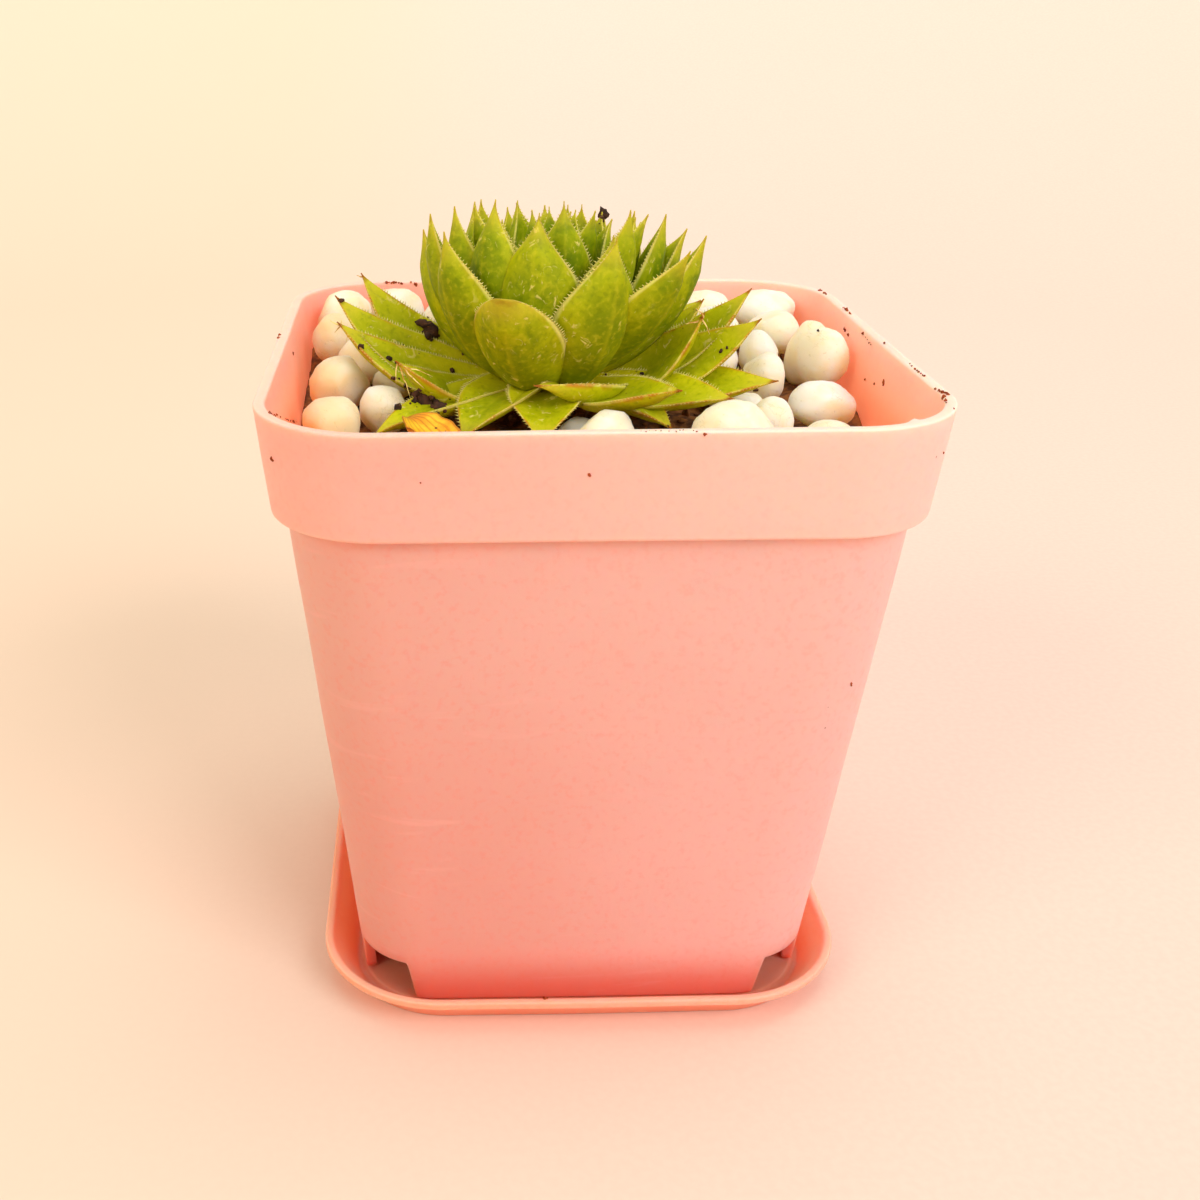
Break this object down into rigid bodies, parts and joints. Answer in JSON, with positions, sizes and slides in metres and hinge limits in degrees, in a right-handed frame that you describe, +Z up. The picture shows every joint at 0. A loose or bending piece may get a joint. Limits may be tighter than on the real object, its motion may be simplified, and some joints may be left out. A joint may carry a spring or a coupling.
{
  "type": "potted hens and chicks",
  "caption": "Houseleek rosette in a tapered square plastic pot on a matching saucer, with soil, a fallen yellow leaf and white tumbled stones.",
  "frame": {"origin": "centre of the saucer's flat underside, which is the bottom centre of the whole object", "axes": "+Z up out of the pot's mouth, +X to the right and -Y towards the viewer, along the sides of the square pot"},
  "size_m": [0.08, 0.08, 0.1032],
  "materials": {
    "saucer_plastic": "satin",
    "pot_plastic": "satin",
    "soil": "matte",
    "leaf": "satin",
    "withered_leaf": "matte",
    "stone": "satin"
  },
  "bodies": {
    "root": {"saucer": "saucer_plastic", "pot": "pot_plastic", "soil": "soil", "rosette": "leaf", "withered_leaf": "withered_leaf", "stone_01": "stone", "stone_02": "stone", "stone_03": "stone", "stone_04": "stone", "stone_05": "stone", "stone_06": "stone", "stone_07": "stone", "stone_08": "stone", "stone_09": "stone", "stone_10": "stone", "stone_11": "stone", "stone_12": "stone", "stone_13": "stone", "stone_14": "stone", "stone_15": "stone", "stone_16": "stone", "stone_17": "stone", "stone_18": "stone", "stone_19": "stone", "stone_20": "stone", "stone_21": "stone", "stone_22": "stone", "stone_23": "stone", "stone_24": "stone", "stone_25": "stone", "stone_26": "stone", "stone_27": "stone", "stone_28": "stone", "stone_29": "stone", "stone_30": "stone", "stone_31": "stone", "stone_32": "stone", "stone_33": "stone", "stone_34": "stone", "stone_35": "stone", "stone_36": "stone", "stone_37": "stone", "stone_38": "stone", "stone_39": "stone", "stone_40": "stone", "stone_41": "stone", "stone_42": "stone", "stone_43": "stone", "stone_44": "stone", "stone_45": "stone", "stone_46": "stone", "stone_47": "stone", "stone_48": "stone", "stone_49": "stone", "stone_50": "stone", "stone_51": "stone"}
  },
  "joints": []
}
